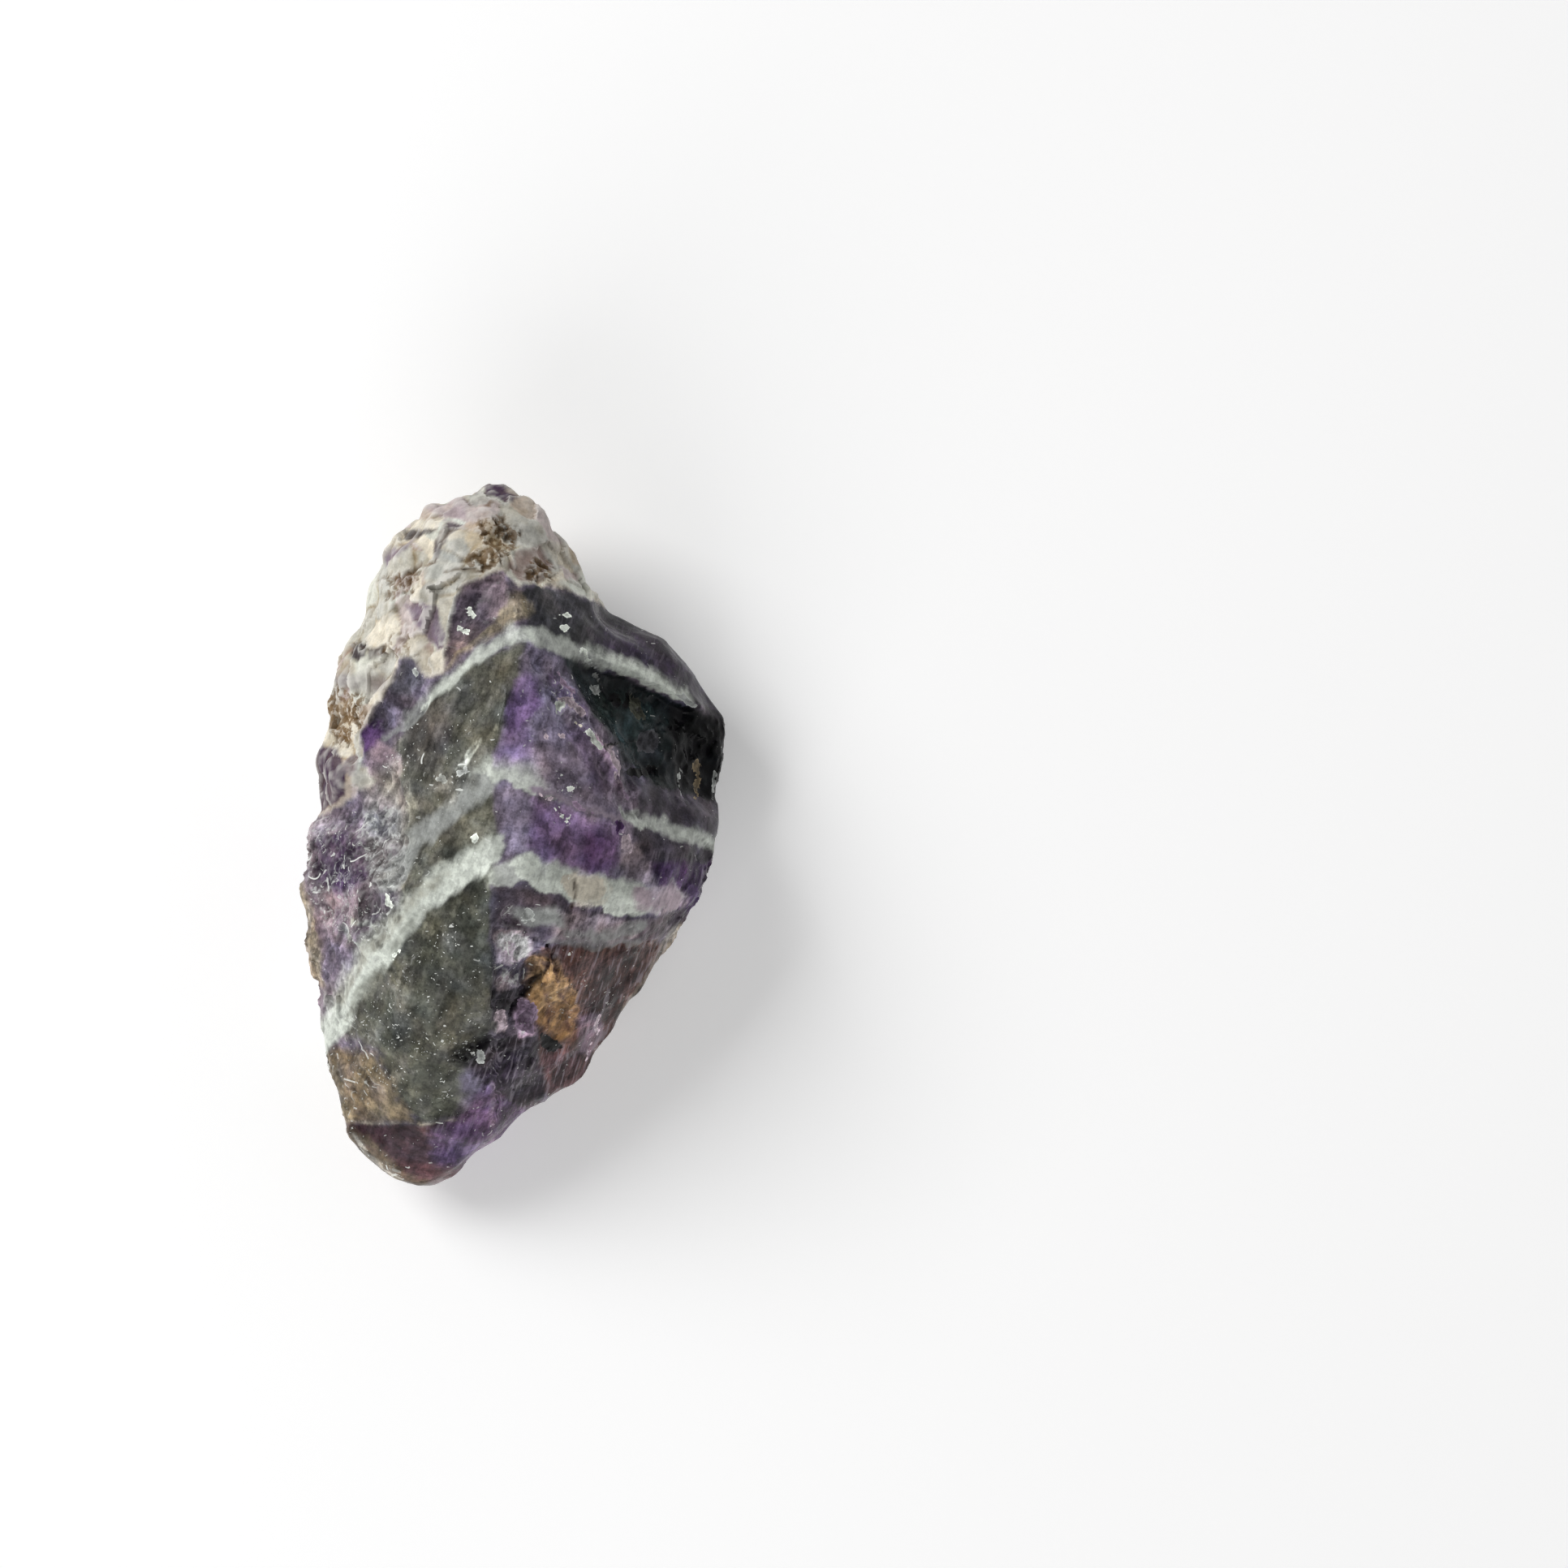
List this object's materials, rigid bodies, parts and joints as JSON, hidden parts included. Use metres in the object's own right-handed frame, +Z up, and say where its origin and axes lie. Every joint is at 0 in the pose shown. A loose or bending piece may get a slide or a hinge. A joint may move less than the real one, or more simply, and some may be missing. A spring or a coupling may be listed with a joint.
{
  "type": "rough chevron amethyst",
  "caption": "Rough, broken chevron amethyst with V-shaped pale and violet growth bands, a weathered rind at one end and a deep notch on one flank.",
  "frame": {"origin": "middle of the bounding box, on the plane of the flat face it rests on", "axes": "+Y along the stone towards the rind, +Z up from the flat face, +X towards the deep notch"},
  "size_m": [0.0482, 0.08, 0.0334],
  "materials": {
    "amethyst": "glassy broken faces, dull weathered rind"
  },
  "bodies": {
    "root": {"amethyst_stone": "amethyst"}
  },
  "joints": []
}
